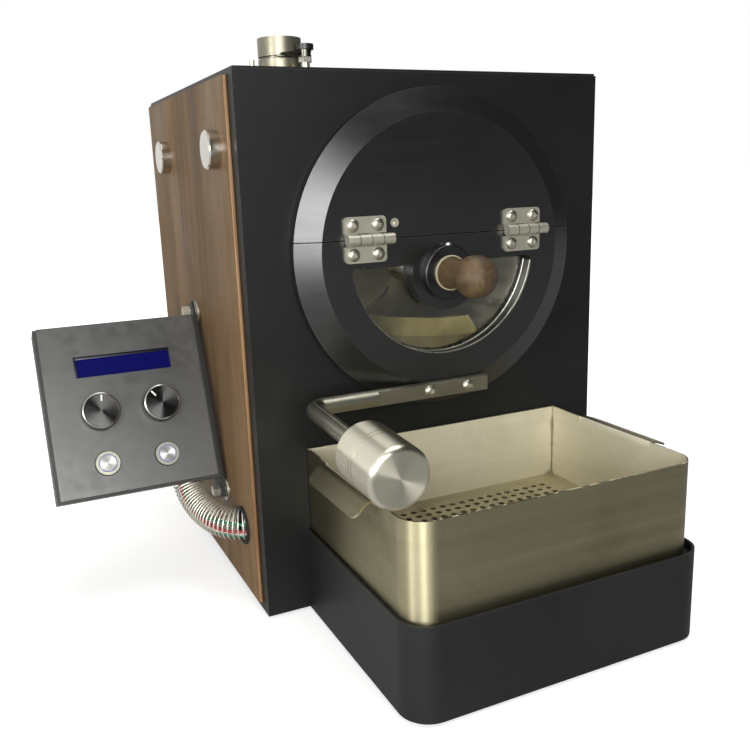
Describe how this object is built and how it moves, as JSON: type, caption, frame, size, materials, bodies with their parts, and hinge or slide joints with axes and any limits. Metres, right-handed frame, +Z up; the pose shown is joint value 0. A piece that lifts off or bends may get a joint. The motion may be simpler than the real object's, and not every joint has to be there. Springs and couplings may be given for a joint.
{
  "type": "electric coffee roaster",
  "caption": "Small drum coffee roaster with a glazed counterweighted door, sampling scoop, lift-off cooling tray over a fan base, side control box and exhaust damper.",
  "frame": {"origin": "on the bench, on the cabinet's centre plane, under its front face", "axes": "+X to the right of someone facing the door, +Y from the cabinet's front to its rear, +Z up"},
  "size_m": [0.3902, 0.3945, 0.3855],
  "materials": {
    "black_steel": "fine matt powder coat",
    "walnut": "oiled walnut veneer",
    "polished_steel": "polished",
    "fasteners": "polished",
    "boss_steel": "turned",
    "drum_steel": "satin",
    "flight_brass": "satin",
    "vane_steel": "heat darkened",
    "glass": "clear",
    "motor_paint": "satin",
    "tray_steel": "satin",
    "black_plastic": "matt",
    "rubber": "matt",
    "box_metal": "brushed dark",
    "display_blue": "lit display",
    "board": "circuit board",
    "dial_metal": "turned",
    "button_ring": "satin",
    "button_cap": "turned",
    "conduit_steel": "coiled",
    "wires": "insulated"
  },
  "bodies": {
    "cabinet": {"cabinet_shell": "black_steel", "top_cover": "black_steel", "bottom_plate": "black_steel", "rear_panel": "black_steel", "wood_panel_left": "walnut", "wood_panel_right": "walnut", "panel_caps": "polished_steel", "upper_disc": "black_steel", "hinge_leaves_upper": "polished_steel", "pins_and_screws": "fasteners", "drum_housing": "drum_steel", "housing_rear": "drum_steel", "housing_saddles": "drum_steel", "shaft_bearing": "drum_steel", "motor_mount": "drum_steel", "gear_motor": "motor_paint", "heating_rods": "drum_steel", "exhaust_pipe": "drum_steel", "pipe_collar": "boss_steel", "damper_bolts": "fasteners", "base_housing": "black_steel", "fan_deck": "black_steel", "cooling_fan_frame": "black_plastic", "rubber_feet": "rubber", "control_box": "box_metal", "control_face": "box_metal", "display": "display_blue", "control_board": "board", "button_bezels": "button_ring", "box_bracket": "black_steel", "bracket_bolts": "fasteners", "spring_conduit": "conduit_steel", "conduit_wires": "wires", "panel_grommet": "rubber", "mains_inlet": "black_plastic"},
    "door": {"discharge_door": "black_steel", "door_glass": "glass", "glass_ring": "polished_steel", "hinge_leaves_lower": "polished_steel", "door_screws": "fasteners", "lever_arm": "polished_steel", "counterweight": "polished_steel", "sampler_boss": "boss_steel"},
    "sampler": {"sampler_tube": "polished_steel", "sampler_ferrule": "polished_steel", "sampler_handle": "walnut"},
    "drum": {"drum_shell": "drum_steel", "drum_flights": "flight_brass", "drum_vanes": "vane_steel", "drum_shaft": "drum_steel", "shaft_coupling": "drum_steel"},
    "cooling_fan": {"cooling_impeller": "black_plastic"},
    "damper": {"damper_plate": "drum_steel", "damper_knob": "black_plastic"},
    "dial_left": {"dial_left": "dial_metal"},
    "dial_right": {"dial_right": "dial_metal"},
    "button_left": {"button_left": "button_cap"},
    "button_right": {"button_right": "button_cap"},
    "tray": {"tray_walls": "tray_steel", "tray_floor": "tray_steel"}
  },
  "joints": [
    {"name": "door_hinge", "type": "hinge", "parent": "cabinet", "child": "door", "pos_m": [0, -0.01875, 0.2475], "axis": [-1, 0, 0], "range_deg": [0, 85]},
    {"name": "sampler_slide", "type": "slide", "parent": "door", "child": "sampler", "axis": [0, -1, 0], "range_m": [0, 0.06]},
    {"name": "drum_spin", "type": "hinge", "parent": "cabinet", "child": "drum", "pos_m": [0, 0.1, 0.237], "axis": [0, -1, 0], "continuous": true},
    {"name": "fan_spin", "type": "hinge", "parent": "cabinet", "child": "cooling_fan", "pos_m": [0, -0.076, 0.04], "axis": [0, 0, 1], "continuous": true},
    {"name": "damper_swing", "type": "hinge", "parent": "cabinet", "child": "damper", "pos_m": [-0.04336, 0.10926, 0.3717], "axis": [0, 0, 1], "range_deg": [0, 80]},
    {"name": "dial_left_turn", "type": "hinge", "parent": "cabinet", "child": "dial_left", "pos_m": [-0.2143, 0.08121, 0.13728], "axis": [0, 0.9317, -0.3633], "range_deg": [-135, 135]},
    {"name": "dial_right_turn", "type": "hinge", "parent": "cabinet", "child": "dial_right", "pos_m": [-0.1737, 0.08121, 0.13728], "axis": [0, 0.9317, -0.3633], "range_deg": [-135, 135]},
    {"name": "button_left_press", "type": "slide", "parent": "cabinet", "child": "button_left", "axis": [0, 0.9317, -0.3633], "range_m": [0, 0.0015], "stiffness_N_per_m": 400, "springref_m": -0.002},
    {"name": "button_right_press", "type": "slide", "parent": "cabinet", "child": "button_right", "axis": [0, 0.9317, -0.3633], "range_m": [0, 0.0015], "stiffness_N_per_m": 400, "springref_m": -0.002},
    {"name": "tray_lift", "type": "slide", "parent": "cabinet", "child": "tray", "axis": [0, 0, 1], "range_m": [0, 0.0055]}
  ]
}
